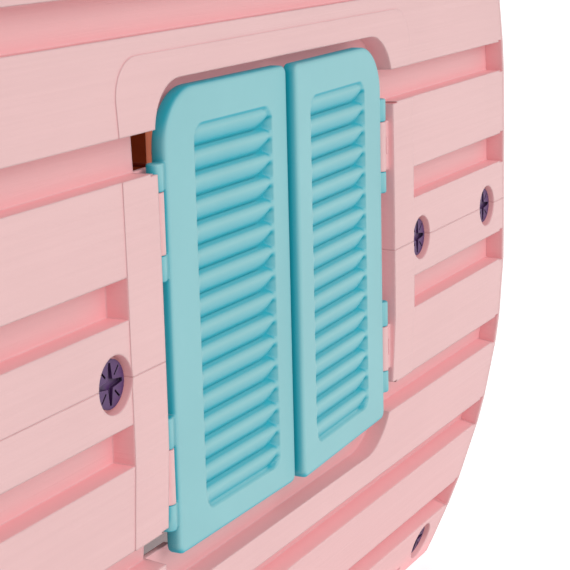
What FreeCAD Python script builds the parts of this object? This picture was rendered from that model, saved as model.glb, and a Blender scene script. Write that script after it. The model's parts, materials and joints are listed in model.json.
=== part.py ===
"""Plastic playhouse: four bulged plank walls in two storeys, a gable roof, shutters and a door.

Millimetres, +Z up.  The origin is the middle of the footprint, on the ground.  The two window
walls face -Y and +Y, the door wall faces +X and the plain end wall faces -X.  Every wall is a thin
moulded shell of raised planks and sunk bands on one bulged side profile.  A point of a wall is
named by its depth d behind the plank face and by its length v along the profile, where v = 0 is
the seam between the lower and the upper panels.
"""
import FreeCAD, Part
from FreeCAD import Base
import math
import os

V = Base.Vector
UP = V(0, 0, 1)

# ---- overall size -------------------------------------------------------------------------------
HALF_X = 498.0            # centre to the plank face of the door wall and of the end wall
HALF_Y = 440.0            # centre to the plank face of the two window walls
SEAM_Z = 386.0            # height of the seam where the upper panels stand on the lower ones
EAVE_RISE = 385.0         # height of the eave above the seam
ROOF_PITCH = 38.0         # degrees

CUT_OUT, CUT_IN = 20.0, 80.0          # how far a window cutter reaches out of and into its wall

# ---- bulged side profile ------------------------------------------------------------------------
FLAT_BELOW = 47.5         # the wall is upright this far below the seam
FLAT_ABOVE = 95.0         # and this far above it
BEND_BELOW = 917.0        # radius of the lower bulge
BEND_ABOVE = 1615.0       # radius of the upper bulge

# ---- moulded shell ------------------------------------------------------------------------------
WALL = 4.0                # thickness of the moulded skin
RELIEF = 18.0             # depth of the bands behind the plank face
GAP = 0.3                 # assembly clearance between two panels
PLANK_ROUND = 10.0        # corner radius of a plank's end
ROUND_LEAD = 0.6          # how far outside the plank that rounding starts
SEAM_TOP, SEAM_LOW = 40.8, -33.6      # the plank that the seam runs through
UPPER_PITCH, UPPER_PLANK = 95.0, 65.5
LOWER_TOP, LOWER_PITCH, LOWER_PLANK = -64.3, 91.0, 63.0
LOWER_PLANKS = 4
TOE_TOP = -379.5          # top of the sunk toe strip under the last plank
TOE_HALF = 349.0          # the toe strip ends here, short of the corner
BORDER = 40.0             # smooth strip down each edge of the door wall and the end wall
FLANGE = 77.0             # width of the corner flange behind a window wall
SOLE = 30.0               # width of the flat sole that stands on the ground
TONGUE_RISE = 25.0        # the lower panel's tongue reaches this far above the seam

# ---- bolts --------------------------------------------------------------------------------------
CUP_R, CUP_DEPTH, BOSS_WALL = 20.8, 10.5, 4.2
HEAD_R, HEAD_T = 17.6, 6.0
STAR_HUB, STAR_TIP, STAR_REACH = 3.6, 1.3, 15.2    # half widths and length of a star's four arms
NOTCH_IN, NOTCH_OUT, NOTCH_HALF = 7.6, 15.8, 0.8   # the thin notch between two arms
SHANK_R = 5.0
SHANK_GAP = 0.3
NUT_R, NUT_T = 15.0, 8.0
SEAM_BOLT_X = 270.0
CORNER_BOLT_IN = 52.0     # from the corner to the bolts that hold the walls together
BASE_BOLT_V = -364.0
TOP_BOLT_V = 291.0
END_BOLT_Y = (-300.0, -100.0, 100.0, 300.0)

# ---- window -------------------------------------------------------------------------------------
POCKET_HALF, POCKET_LOW, POCKET_TOP, POCKET_ROUND = 205.0, -188.0, 197.6, 40.0
WINDOW_HALF, WINDOW_LOW, WINDOW_TOP, WINDOW_ROUND = 181.0, -156.0, 164.7, 22.0
TRIM_HALF, TRIM_TOP, TRIM_ROUND, TRIM_PROUD = 250.0, 217.6, 30.0, 0.8
SLOT_OUT = 207.0          # outer end of the slots above and below each post

# ---- shutters -----------------------------------------------------------------------------------
SHUTTER_SET, SHUTTER_T = 4.0, 12.0    # front face behind the planks, thickness
SHUTTER_CLEAR = 2.0                   # from a closed shutter to the floor of its pocket
SHUTTER_EDGE = 187.0                  # hinge-side edge from the window's middle
SHUTTER_LOW, SHUTTER_TOP = -155.0, 190.0
SHUTTER_SPLIT = 4.0                   # gap between the two closed shutters
SHUTTER_ROUND_TOP, SHUTTER_ROUND = 43.0, 7.0
FIELD_SIDE_OUT, FIELD_SIDE_IN = 40.0, 27.0
FIELD_LOW, FIELD_TOP, FIELD_ROUND, FIELD_DEPTH = 22.0, 28.0, 12.0, 8.0
LOUVRES = 16
LOUVRE_RISE = 6.5
LOUVRE_WIDTH = 0.88       # of the pitch
AJAR_LEFT, AJAR_RIGHT = 1.0, 2.75     # degrees that the two front shutters stand open
PIN_X, PIN_SET = 194.0, 9.0
BARREL_R, PIN_R, PIN_GAP = 6.0, 2.5, 0.06
LUG_GAP = 0.4
LUG_T = 8.0
LUG_SLOT, LUG_SLOT_H = 2.6, 15.0      # the moulding slot in a fixed knuckle
UPPER_HINGE = (55.0, 74.5, 119.5, 140.0)
LOWER_HINGE = (-132.0, -111.5, -69.5, -46.0)
PIN_SHORT = 1.0           # how far a pin stops inside its end knuckles

# ---- door ---------------------------------------------------------------------------------------
DOOR_Y = 8.0
PORTAL_HALF, PORTAL_PROUD, PORTAL_DEPTH, PORTAL_FOOT = 217.0, 2.0, 92.0, 32.0
DOORWAY_HALF, DOORWAY_FOOT, SPRING_Z = 185.0, 62.0, 536.0
STOP = 12.0
LEAF_SET, LEAF_T, LEAF_GAP = 2.0, 16.0, 2.0
STILE, MULLION, RAIL_Z, PANE_GAP = 52.0, 30.0, 330.0, 46.0
PANEL_GROOVE, PLANKS = 5.0, 5
PANEL_ROUND, SLAT_GAP, SLAT_SINK = 14.0, 6.0, 1.5
MULLION_GROOVE_Z = 401.0
DOOR_BARREL, DOOR_PIN_R, DOOR_STRAP = 8.0, 3.5, 15.0
DOOR_HINGES = (130.0, 470.0)
DOOR_KNUCKLE, DOOR_LUG = 18.0, 24.0
HANDLE_Z, HANDLE_H, HANDLE_IN, HANDLE_R, HANDLE_REACH = 250.0, 90.0, 26.0, 6.0, 24.0

# ---- roof ---------------------------------------------------------------------------------------
ROOF_HALF = 530.0
EAVE_OVER = 60.0
ROOF_SKIN, COURSE_RISE, COURSES = 8.0, 9.0, 6
RIDGE_FLAT = 78.0
CAP_T, CAP_LEG = 6.0, 66.0
RAFTER_FLANGE = 46.0
ROOF_BOLT_U = (190.0, 430.0)
ROOF_BOSS = 20.0
ROOF_POCKET_HALF = 370.0  # the underside is hollow this far to each side of the middle
ROOF_RIB = 6.0            # rib left between two hollows

# ---- values worked out --------------------------------------------------------------------------
BACK = RELIEF + WALL                       # depth of a panel's inner face
FLANGE_D = BACK + GAP                      # depth of what lies behind a panel
HALF_GAP = GAP / 2
BOSS_R = CUP_R + BOSS_WALL
POCKET_DEPTH = SHUTTER_SET + SHUTTER_T + SHUTTER_CLEAR
PITCH = math.radians(ROOF_PITCH)


def path_length(rise, flat, bend):
    """Length along the profile to a height above or below the seam."""
    if rise <= flat:
        return rise
    return flat + bend * math.asin((rise - flat) / bend)


V_LOW = -path_length(SEAM_Z, FLAT_BELOW, BEND_BELOW)
V_EAVE = path_length(EAVE_RISE, FLAT_ABOVE, BEND_ABOVE)
EAVE_LEAN = (V_EAVE - FLAT_ABOVE) / BEND_ABOVE


def profile(v):
    """Inset, height above the seam and inward lean of the profile at length v."""
    if v < -FLAT_BELOW:
        lean = (-v - FLAT_BELOW) / BEND_BELOW
        return (BEND_BELOW * (1 - math.cos(lean)), -FLAT_BELOW - BEND_BELOW * math.sin(lean), -lean)
    if v <= FLAT_ABOVE:
        return 0.0, v, 0.0
    lean = min(v - FLAT_ABOVE, V_EAVE - FLAT_ABOVE) / BEND_ABOVE
    past = max(v - V_EAVE, 0.0)
    inset = BEND_ABOVE * (1 - math.cos(lean)) + past * math.sin(lean)
    return inset, FLAT_ABOVE + BEND_ABOVE * math.sin(lean) + past * math.cos(lean), lean


def at(half, x, d, v):
    """Point at x along a wall that faces -Y at distance half, at depth d and length v."""
    inset, rise, lean = profile(v)
    return V(x, -half + inset + d * math.cos(lean), SEAM_Z + rise - d * math.sin(lean))


def eave_y():
    return HALF_Y - profile(V_EAVE)[0]


RIDGE_Z = SEAM_Z + EAVE_RISE + eave_y() * math.tan(PITCH)
V_RIDGE = V_EAVE + (RIDGE_Z - SEAM_Z - EAVE_RISE) / math.cos(EAVE_LEAN) + 40.0


# ---- planks -------------------------------------------------------------------------------------
def lower_planks(toe=False):
    """(low, high) of each plank of a lower panel, from the ground up."""
    planks = []
    for i in reversed(range(LOWER_PLANKS)):
        top = LOWER_TOP - i * LOWER_PITCH
        last = i == LOWER_PLANKS - 1
        low = (TOE_TOP if toe else V_LOW) if last else top - LOWER_PLANK
        planks.append((low, top))
    return planks + [(SEAM_LOW, -HALF_GAP)]


def upper_planks(v_high):
    """(low, high) of each plank of an upper panel, from the seam up to v_high."""
    planks = [(HALF_GAP, SEAM_TOP)]
    top = SEAM_TOP + UPPER_PITCH
    while top - UPPER_PLANK < v_high - 2 * WALL:
        planks.append((top - UPPER_PLANK, min(top, v_high)))
        top += UPPER_PITCH
    return planks


def merge(planks, low, high):
    """The planks with all that lie between low and high joined into one."""
    inside = [p for p in planks if p[0] > low - 1 and p[1] < high + 1]
    joined = (inside[0][0], inside[-1][1])
    return sorted([p for p in planks if p not in inside] + [joined])


STATIONS = sorted({round(v, 6) for p in lower_planks() + lower_planks(True) + upper_planks(V_RIDGE)
                   for v in p} | {V_LOW, V_EAVE, V_RIDGE, -HALF_GAP, HALF_GAP})


def between(low, high):
    return [low] + [v for v in STATIONS if low + 0.01 < v < high - 0.01] + [high]


# ---- solids from wall coordinates ---------------------------------------------------------------
def face_of(points):
    return Part.Face(Part.makePolygon(points + [points[0]]))


def run_along(half, outline, x1, x2):
    """Solid of a (d, v) outline drawn along the wall from x1 to x2."""
    return face_of([at(half, x1, d, v) for d, v in outline]).extrude(V(x2 - x1, 0, 0))


def layer(half, d1, d2, v1, v2, x1, x2):
    """Curved sheet between two depths."""
    stops = between(v1, v2)
    outline = [(d1, v) for v in stops] + [(d2, v) for v in reversed(stops)]
    return run_along(half, outline, x1, x2)


def follow(points, d, v1, v2):
    """Add the stations strictly inside v1..v2 at depth d, in either direction."""
    low, high = min(v1, v2), max(v1, v2)
    inner = [v for v in STATIONS if low + 0.01 < v < high - 0.01]
    points.extend((d, v) for v in (inner if v1 < v2 else reversed(inner)))


def relief_line(planks, v_low, v_high):
    """Outer line of planks and bands, from v_low up to v_high."""
    line = []
    here = v_low
    for low, high in planks:
        if low > here + 0.01:
            line.append((RELIEF, here))
            follow(line, RELIEF, here, low)
            line.append((RELIEF, low))
        line.append((0.0, low))
        follow(line, 0.0, low, high)
        line.append((0.0, high))
        here = high
    if v_high > here + 0.01:
        line += [(RELIEF, here), (RELIEF, v_high)]
    return line


def block(half, planks, v_low, v_high, x1, x2, back=BACK):
    """Planks and bands, solid to the back of the panel."""
    outline = relief_line(planks, v_low, v_high) + [(back, v) for v in reversed(between(v_low, v_high))]
    return run_along(half, outline, x1, x2)


def hollow(half, planks, x1, x2):
    """The space behind each plank, which leaves the skin and its ledges."""
    spaces = [layer(half, WALL, BACK + 1, low + WALL, high - WALL, x1, x2) for low, high in planks]
    return Part.makeCompound(spaces)


def rect(x1, x2, z1, z2, radii):
    """Wire in the XZ plane at y = 0, with radii for the corners low-left, low-right, high-right,
    high-left."""
    corners = [(x1, z1, 1, 0, 0, 1), (x2, z1, 0, 1, -1, 0), (x2, z2, -1, 0, 0, -1), (x1, z2, 0, -1, 1, 0)]
    edges = []
    ends = []
    for (x, z, ax, az, bx, bz), r in zip(corners, radii):
        start = V(x + bx * r, 0, z + bz * r)
        end = V(x + ax * r, 0, z + az * r)
        ends.append((start, end))
        if r > 0:
            k = r * (1 - math.sqrt(0.5))
            middle = V(x + (ax + bx) * k, 0, z + (az + bz) * k)
            edges.append(Part.Arc(start, middle, end).toShape())
    for i in range(4):
        a, b = ends[i][1], ends[(i + 1) % 4][0]
        edges.append(Part.makeLine(a, b))
    return Part.Wire(Part.__sortEdges__(edges))


def plate(wire, y1, y2):
    """Solid of a wire of the XZ plane between two depths."""
    solid = Part.Face(wire).extrude(V(0, y2 - y1, 0))
    solid.translate(V(0, y1, 0))
    return solid


def box(x1, x2, y1, y2, z1, z2):
    return Part.makeBox(x2 - x1, y2 - y1, z2 - z1, V(x1, y1, z1))


def rod(radius, length, start, direction=UP):
    return Part.makeCylinder(radius, length, start, direction)


def turn(shape, degrees):
    copy = shape.copy()
    copy.rotate(V(0, 0, 0), UP, degrees)
    return copy


def mirror_x(shape):
    return shape.mirror(V(0, 0, 0), V(1, 0, 0))


def join(first, *others):
    return first.fuse([o for o in others]).removeSplitter()


# ---- outlines of the walls ----------------------------------------------------------------------
def between_walls(half, offset, reach):
    """Prism of everything inside two opposite walls, offset inward, seen along the other axis."""
    stops = between(V_LOW, V_RIDGE)
    right = [at(half, 0, offset, v) for v in stops]
    points = [V(-p.y, -reach, p.z) for p in right]
    low = points[0] + V(0, 0, -30)
    points = [low] + points
    points += [V(-p.x, p.y, p.z) for p in reversed(points)]
    return face_of(points).extrude(V(0, 2 * reach, 0))


def inside_ends(offset):
    """Inside the door wall and the end wall."""
    return between_walls(HALF_X, offset, 700)


def inside_windows(offset):
    """Inside the two window walls."""
    return turn(between_walls(HALF_Y, offset, 700), 90)


def below_roof(drop):
    """Everything below the roof's underside, lowered square to the slope by drop."""
    reach = eave_y() + 200
    top = RIDGE_Z - drop / math.cos(PITCH)
    eave = top - reach * math.tan(PITCH)
    points = [V(-700, -reach, eave), V(-700, 0, top), V(-700, reach, eave), V(-700, reach, -50),
              V(-700, -reach, -50)]
    return face_of(points).extrude(V(1400, 0, 0))


# ---- bolts and nuts -----------------------------------------------------------------------------
def star_slots(depth):
    """Four arms that narrow outward and four short thin notches, cut into a head from its face."""
    cuts = []
    for i in range(4):
        arm = face_of([V(0, -STAR_HUB, 0), V(STAR_REACH, -STAR_TIP, 0), V(STAR_REACH, STAR_TIP, 0),
                       V(0, STAR_HUB, 0)]).extrude(V(0, 0, depth))
        notch = box(NOTCH_IN, NOTCH_OUT, -NOTCH_HALF, NOTCH_HALF, 0, depth)
        arm.rotate(V(0, 0, 0), UP, 90 * i)
        notch.rotate(V(0, 0, 0), UP, 90 * i + 45)
        cuts += [arm, notch]
    return Part.makeCompound(cuts)


def bolt(grip):
    """Bolt along +Z: the head's face is at z = 0 and it clamps grip millimetres under its head."""
    head = rod(HEAD_R, HEAD_T, V(0, 0, 0)).cut(star_slots(HEAD_T / 2))
    return join(head, rod(SHANK_R, grip + NUT_T, V(0, 0, HEAD_T)))


def nut(grip):
    """Hand nut behind what the bolt clamps, with four finger lobes."""
    body = rod(NUT_R, NUT_T, V(0, 0, HEAD_T + grip))
    lobes = [rod(4, NUT_T, V(NUT_R * math.cos(a), NUT_R * math.sin(a), HEAD_T + grip))
             for a in [math.pi / 4 + i * math.pi / 2 for i in range(4)]]
    return join(body, *lobes).cut(rod(SHANK_R, NUT_T + 2, V(0, 0, HEAD_T + grip - 1)))


def placed(shape, origin, direction):
    """Turn a shape built along +Z so that it runs along direction from origin."""
    copy = shape.copy()
    copy.Placement = FreeCAD.Placement(origin, FreeCAD.Rotation(UP, direction))
    return copy


def wall_frame(half, x, v, depth=0.0):
    """Origin and inward direction of the flat plank that a wall has at (x, v)."""
    low = max(s for s in STATIONS if s <= v + 0.001)
    high = min(s for s in STATIONS if s > v + 0.001)
    foot, head = at(half, x, 0, low), at(half, x, 0, high)
    along = (head - foot).normalize()
    direction = V(0, along.z, -along.y)
    return foot + along * (v - low) + direction * depth, direction


WALL_GRIP = FLANGE_D + WALL - CUP_DEPTH


def cup(half, x, v):
    """What a bolt removes from a wall: the cup for its head and the hole for its shank."""
    origin, direction = wall_frame(half, x, v, -5)
    parts = join(rod(CUP_R, CUP_DEPTH + 5, V(0, 0, 0)), rod(SHANK_R + SHANK_GAP, 70, V(0, 0, 0)))
    return placed(parts, origin, direction)


def boss(half, x, v):
    origin, direction = wall_frame(half, x, v, WALL / 2)
    return placed(rod(BOSS_R, BACK - WALL / 2, V(0, 0, 0)), origin, direction)


def wall_bolt(half, x, v):
    origin, direction = wall_frame(half, x, v, CUP_DEPTH - HEAD_T)
    return placed(bolt(WALL_GRIP), origin, direction)


def wall_nut(half, x, v):
    origin, direction = wall_frame(half, x, v, CUP_DEPTH - HEAD_T)
    return placed(nut(WALL_GRIP), origin, direction)


def corner_x(v):
    """Where the corner bolts of a window wall stand."""
    return HALF_X - profile(v)[0] - CORNER_BOLT_IN


CORNER_BOLTS = [(side * corner_x(v), v) for v in (0.0, BASE_BOLT_V, TOP_BOLT_V) for side in (-1, 1)]
SEAM_BOLTS = [(side * SEAM_BOLT_X, 0.0) for side in (-1, 1)]
DOOR_BOLTS = [(y, 0.0) for y in END_BOLT_Y if abs(y) > 200]
END_BOLTS = [(y, 0.0) for y in END_BOLT_Y]


# ---- window walls -------------------------------------------------------------------------------
def plank_corner(half, edge, v, up):
    """What rounds the end of a plank at its corner; up is +1 at a plank's top, -1 at its foot.
    The arc starts and ends a little outside the plank, so that it meets both edges at an angle,
    and the cut ends a little above the floor of the band."""
    r, k = PLANK_ROUND, 1 - math.sqrt(0.5)
    e, far = ROUND_LEAD, 1.0 + ROUND_LEAD
    start, end = V(e - r, up * e, 0), V(e, up * (e - r), 0)
    middle = V(e - r * k, up * (e - r * k), 0)
    outside = [end, V(far, up * (e - r), 0), V(far, up * far, 0), V(e - r, up * far, 0), start]
    edges = [Part.Arc(start, middle, end).toShape()]
    edges += [Part.makeLine(p, q) for p, q in zip(outside, outside[1:])]
    cutter = Part.Face(Part.Wire(edges)).extrude(V(0, 0, RELIEF + 5 - ROUND_LEAD))
    origin, direction = wall_frame(half, edge, v, -5)
    along = V(1, 0, 0)
    turned = FreeCAD.Rotation(along, direction.cross(along), direction, "XZY")
    cutter.Placement = FreeCAD.Placement(origin, turned)
    return cutter


def corner_cutters(half, planks):
    """Roundings of all plank ends on the +X side of a window wall."""
    cutters = []
    for low, high in planks:
        for v, up in ((low, -1), (high, 1)):
            if abs(v) > 1 and v > V_LOW + 1 and v < V_EAVE - 1:
                edge = HALF_X - profile(v)[0] - (WALL + GAP) * math.cos(profile(v)[2])
                cutters.append(plank_corner(half, edge, v, up))
    return Part.makeCompound(cutters)


def through(wire):
    """Solid of a wire of the XZ plane, drawn right through the window wall."""
    return plate(wire, -HALF_Y - CUT_OUT, -HALF_Y + CUT_IN)


def window_pocket(v_low, v_high):
    """The sunk pocket that the shutters close into, as its solid and the space cut from it."""
    z = SEAM_Z
    outer = through(rect(-POCKET_HALF - WALL, POCKET_HALF + WALL, z + POCKET_LOW - WALL,
                         z + POCKET_TOP + WALL, [POCKET_ROUND + WALL] * 4))
    inner = through(rect(-POCKET_HALF, POCKET_HALF, z + POCKET_LOW, z + POCKET_TOP, [POCKET_ROUND] * 4))
    reach = POCKET_HALF + WALL
    sunk = layer(HALF_Y, -CUT_OUT, POCKET_DEPTH, v_low - WALL, v_high + WALL, -reach, reach)
    return outer, inner.common(sunk)


def window_opening():
    z = SEAM_Z
    return through(rect(-WINDOW_HALF, WINDOW_HALF, z + WINDOW_LOW, z + WINDOW_TOP, [WINDOW_ROUND] * 4))


def trim(planks, v_low, v_high):
    """The slightly proud surround on the planks beside and above the window."""
    z = SEAM_Z
    low_end, high_end = z + LOWER_TOP - LOWER_PLANK, z + TRIM_TOP
    shape = through(rect(-TRIM_HALF, TRIM_HALF, low_end, high_end, [0, 0, TRIM_ROUND, TRIM_ROUND]))
    sheets = [layer(HALF_Y, -TRIM_PROUD, WALL / 2, low, high, -TRIM_HALF, TRIM_HALF)
              for low, high in planks]
    return Part.makeCompound(sheets).common(shape)


def post_slots(low, high):
    """Slots beside the window in one band, above or below the posts, open right through."""
    inner = WINDOW_HALF - WINDOW_ROUND
    far = max(BACK, POCKET_DEPTH + WALL) + 1
    slot = layer(HALF_Y, min(RELIEF, POCKET_DEPTH) - 1, far, low, high, -SLOT_OUT, -inner)
    return [slot, mirror_x(slot)]


def hinge_lugs(hinges):
    """Fixed knuckles on both posts, with the holes and slots cut into them."""
    lugs = []
    holes = []
    for _, low, high, _ in hinges:
        z1, z2 = SEAM_Z + low + LUG_GAP / 2, SEAM_Z + high - LUG_GAP / 2
        y = -HALF_Y + PIN_SET
        for side in (-1, 1):
            x1, x2 = sorted((side * PIN_X, side * (POCKET_HALF + WALL / 2)))
            barrel = rod(BARREL_R, z2 - z1, V(side * PIN_X, y, z1))
            lugs.append(join(barrel, box(x1, x2, y - LUG_T / 2, y + LUG_T / 2, z1, z2)))
            holes.append(rod(PIN_R, z2 - z1 + 2, V(side * PIN_X, y, z1 - 1)))
            s1, s2 = [side * (PIN_X + BARREL_R) + k * LUG_SLOT / 2 for k in (-1, 1)]
            s3, s4 = [(z1 + z2) / 2 + k * LUG_SLOT_H / 2 for k in (-1, 1)]
            holes.append(box(s1, s2, y - BARREL_R, y + BARREL_R, s3, s4))
    return lugs, holes


def window_wall(lower):
    """One moulded panel of a window wall, below or above the seam, facing -Y."""
    v_low, v_high = (V_LOW, -HALF_GAP) if lower else (HALF_GAP, V_EAVE)
    plain = lower_planks() if lower else upper_planks(v_high)
    if lower:
        joined = (LOWER_TOP - LOWER_PLANK, -HALF_GAP)
        middle = merge(lower_planks(True), *joined)
        zones = [(plain, TOE_HALF, HALF_X), (lower_planks(True), TRIM_HALF, TOE_HALF)]
    else:
        joined = (HALF_GAP, SEAM_TOP + UPPER_PITCH)
        middle = merge(plain, *joined)
        zones = [(plain, TRIM_HALF, HALF_X)]
    sides = []
    for planks, x1, x2 in zones:
        zone = block(HALF_Y, planks, v_low, v_high, x1, x2)
        ends = WALL if planks is not zones[-1][0] else 0
        sides.append(zone.cut(hollow(HALF_Y, planks, x1 + ends, x2)))
    wing = join(*sides) if len(sides) > 1 else sides[0]
    wing = wing.common(inside_ends(WALL + GAP))
    cap = block(HALF_Y, plain, v_low, v_high, HALF_X - 120, HALF_X)
    cap = cap.common(inside_ends(WALL + GAP)).cut(inside_ends(2 * WALL + GAP))
    wing = join(wing, cap).cut(corner_cutters(HALF_Y, plain))

    centre = block(HALF_Y, middle, v_low, v_high, -TRIM_HALF, TRIM_HALF)
    pocket, space = window_pocket(v_low, v_high)
    deep = block(HALF_Y, middle, v_low, v_high, -TRIM_HALF, TRIM_HALF, POCKET_DEPTH + WALL)
    solid_pocket = deep.common(pocket)
    skin = centre.cut(hollow(HALF_Y, middle, -TRIM_HALF + WALL, TRIM_HALF - WALL))
    panel = join(skin, solid_pocket, wing, mirror_x(wing), trim(middle, v_low, v_high))

    bolts = [b for b in SEAM_BOLTS + CORNER_BOLTS if (b[1] <= 0 if lower else b[1] >= 0)]
    half_space = layer(HALF_Y, -10, BACK, v_low, v_high, -HALF_X, HALF_X)
    bosses = Part.makeCompound([boss(HALF_Y, x, v) for x, v in bolts]).common(half_space)
    lugs, pin_holes = hinge_lugs([LOWER_HINGE] if lower else [UPPER_HINGE])
    panel = join(panel, bosses).cut(space)
    panel = join(panel, *lugs)
    if lower:
        for side in (-1, 1):
            x1, x2 = sorted((side * (POCKET_HALF + 2 * WALL), side * (HALF_X - FLANGE - 3 * WALL)))
            web = layer(HALF_Y, RELIEF, FLANGE_D + WALL, -HALF_GAP - WALL, -HALF_GAP, x1, x2)
            tongue = layer(HALF_Y, FLANGE_D, FLANGE_D + WALL, -HALF_GAP - WALL, TONGUE_RISE, x1, x2)
            panel = join(panel, web, tongue)
        foot = at(HALF_Y, 0, RELIEF, V_LOW).y
        panel = join(panel, box(-TOE_HALF, TOE_HALF, foot, foot + SOLE - RELIEF, 0, WALL + RELIEF / 2))
    cuts = [window_opening(), *pin_holes] + [cup(HALF_Y, x, v) for x, v in bolts]
    if lower:
        cuts += post_slots(LOWER_TOP - LOWER_PITCH, joined[0])
        rounding = plank_corner(HALF_Y, -POCKET_HALF, joined[0], -1)
    else:
        cuts += post_slots(joined[1], SEAM_TOP + 2 * UPPER_PITCH - UPPER_PLANK)
        rounding = plank_corner(HALF_Y, -POCKET_HALF, joined[1], 1)
    cuts += [rounding, mirror_x(rounding)]
    panel = panel.cut(Part.makeCompound(cuts))
    return panel.removeSplitter()


# ---- door wall and end wall ---------------------------------------------------------------------
def arch(half, foot, grow=0.0):
    """Wire of a round-headed outline in the XZ plane, centred on the door."""
    r = half + grow
    low = foot - grow
    a, b = V(DOOR_Y - r, 0, SPRING_Z), V(DOOR_Y + r, 0, SPRING_Z)
    c, d = V(DOOR_Y + r, 0, low), V(DOOR_Y - r, 0, low)
    head = Part.Arc(a, V(DOOR_Y, 0, SPRING_Z + r), b).toShape()
    return Part.Wire([head, Part.makeLine(b, c), Part.makeLine(c, d), Part.makeLine(d, a)])


def corner_flange(lower, side):
    """The flange that reaches behind a window wall and takes the corner bolts, in world place."""
    v_low, v_high = (V_LOW, -HALF_GAP) if lower else (HALF_GAP, V_EAVE)
    sheet = layer(HALF_Y, FLANGE_D, FLANGE_D + WALL, v_low, v_high, 0, HALF_X)
    sheet = sheet.common(inside_ends(WALL / 2)).cut(inside_ends(FLANGE))
    bolts = [b for b in CORNER_BOLTS if b[0] > 0 and (b[1] <= 0 if lower else b[1] >= 0)]
    sheet = sheet.cut(Part.makeCompound([cup(HALF_Y, x, v) for x, v in bolts]))
    if side > 0:
        sheet = sheet.mirror(V(0, 0, 0), V(0, 1, 0))
    return sheet


def portal():
    """Frame of the doorway, hollow from behind, as its solid and the hole it needs in the wall.
    Built facing -Y like every wall."""
    front = -HALF_X - PORTAL_PROUD
    back = front + PORTAL_DEPTH
    solid = plate(arch(PORTAL_HALF, PORTAL_FOOT), front, back)
    space = plate(arch(PORTAL_HALF, PORTAL_FOOT, -WALL), front + WALL, back + 1)
    core = plate(arch(DOORWAY_HALF, DOORWAY_FOOT, WALL), front, back)
    lip = plate(arch(DOORWAY_HALF, DOORWAY_FOOT, -STOP + WALL), front, back)
    step = front + LEAF_SET + LEAF_T + 0.5
    frame = join(solid.cut(space), core, lip)
    frame = frame.cut(plate(arch(DOORWAY_HALF, DOORWAY_FOOT), front - 1, step))
    frame = frame.cut(plate(arch(DOORWAY_HALF, DOORWAY_FOOT, -STOP), front - 1, back + 1))
    return frame, plate(arch(PORTAL_HALF, PORTAL_FOOT), front - 30, back + 30)


def end_wall(lower, with_door):
    """One moulded panel of the door wall or the end wall, facing -Y before it is turned."""
    v_low, v_high = (V_LOW, -HALF_GAP) if lower else (HALF_GAP, V_RIDGE)
    planks = lower_planks() if lower else upper_planks(v_high)
    whole = turn(inside_windows(0), 90).common(below_roof_turned(GAP))
    field = turn(inside_windows(BORDER), 90).common(below_roof_turned(BORDER))
    core = turn(inside_windows(BORDER + WALL), 90).common(below_roof_turned(BORDER + WALL))
    body = block(HALF_X, planks, v_low, v_high, -HALF_Y, HALF_Y)
    open_body = body.cut(hollow(HALF_X, planks, -HALF_Y, HALF_Y))
    skin = open_body.common(core)
    rim = body.common(field).cut(core)
    strip = layer(HALF_X, 0, WALL, v_low, v_high, -HALF_Y, HALF_Y).common(whole).cut(core)
    panel = join(skin, rim, strip)
    if not lower:
        flange = layer(HALF_X, 0, RAFTER_FLANGE, HALF_GAP, v_high, -HALF_Y, HALF_Y).common(whole)
        flange = flange.cut(below_roof_turned(GAP + WALL)).common(turn(inside_windows(FLANGE_D), 90))
        panel = join(panel, flange)
    bolts = DOOR_BOLTS if with_door else END_BOLTS
    half_space = layer(HALF_X, -10, BACK, v_low, v_high, -HALF_Y, HALF_Y)
    bosses = Part.makeCompound([boss(HALF_X, x, v) for x, v in bolts]).common(half_space)
    panel = join(panel, bosses)
    reach = HALF_Y - FLANGE_D - 4 * WALL - BORDER
    if lower:
        web = layer(HALF_X, RELIEF, FLANGE_D + WALL, -HALF_GAP - WALL, -HALF_GAP, -reach, reach)
        tongue = layer(HALF_X, FLANGE_D, FLANGE_D + WALL, -HALF_GAP - WALL, TONGUE_RISE, -reach, reach)
        y1 = at(HALF_X, 0, 0, V_LOW).y
        half_sole = HALF_Y - profile(V_LOW)[0] - SOLE - 2 * WALL
        panel = join(panel, web, tongue, box(-half_sole, half_sole, y1 + WALL / 2, y1 + SOLE, 0, WALL))
    if with_door:
        frame, hole = portal()
        around = plate(arch(PORTAL_HALF, PORTAL_FOOT, WALL), -HALF_X - 30, -HALF_X + 140)
        panel = join(panel, body.common(around).common(core)).cut(hole)
        half_portal = box(-HALF_Y, HALF_Y, -HALF_X - 30, -HALF_X + 140,
                          -10 if lower else SEAM_Z + HALF_GAP, SEAM_Z - HALF_GAP if lower else RIDGE_Z)
        lugs, holes = door_lugs()
        kept = join(frame, *lugs).common(half_portal)
        panel = join(panel, kept).cut(Part.makeCompound(holes))
    panel = panel.cut(Part.makeCompound([cup(HALF_X, x, v) for x, v in bolts]))
    if not lower:
        panel = panel.cut(turn(Part.makeCompound(roof_holes()), -90))
    return panel


def below_roof_turned(drop):
    return turn(below_roof(drop), 90)


def finished_end(lower, with_door):
    """An end panel in world place, with its two corner flanges."""
    panel = turn(end_wall(lower, with_door), 90)
    flanges = [corner_flange(lower, side) for side in (-1, 1)]
    panel = join(panel, *flanges)
    return panel if with_door else mirror_x(panel)


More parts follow.
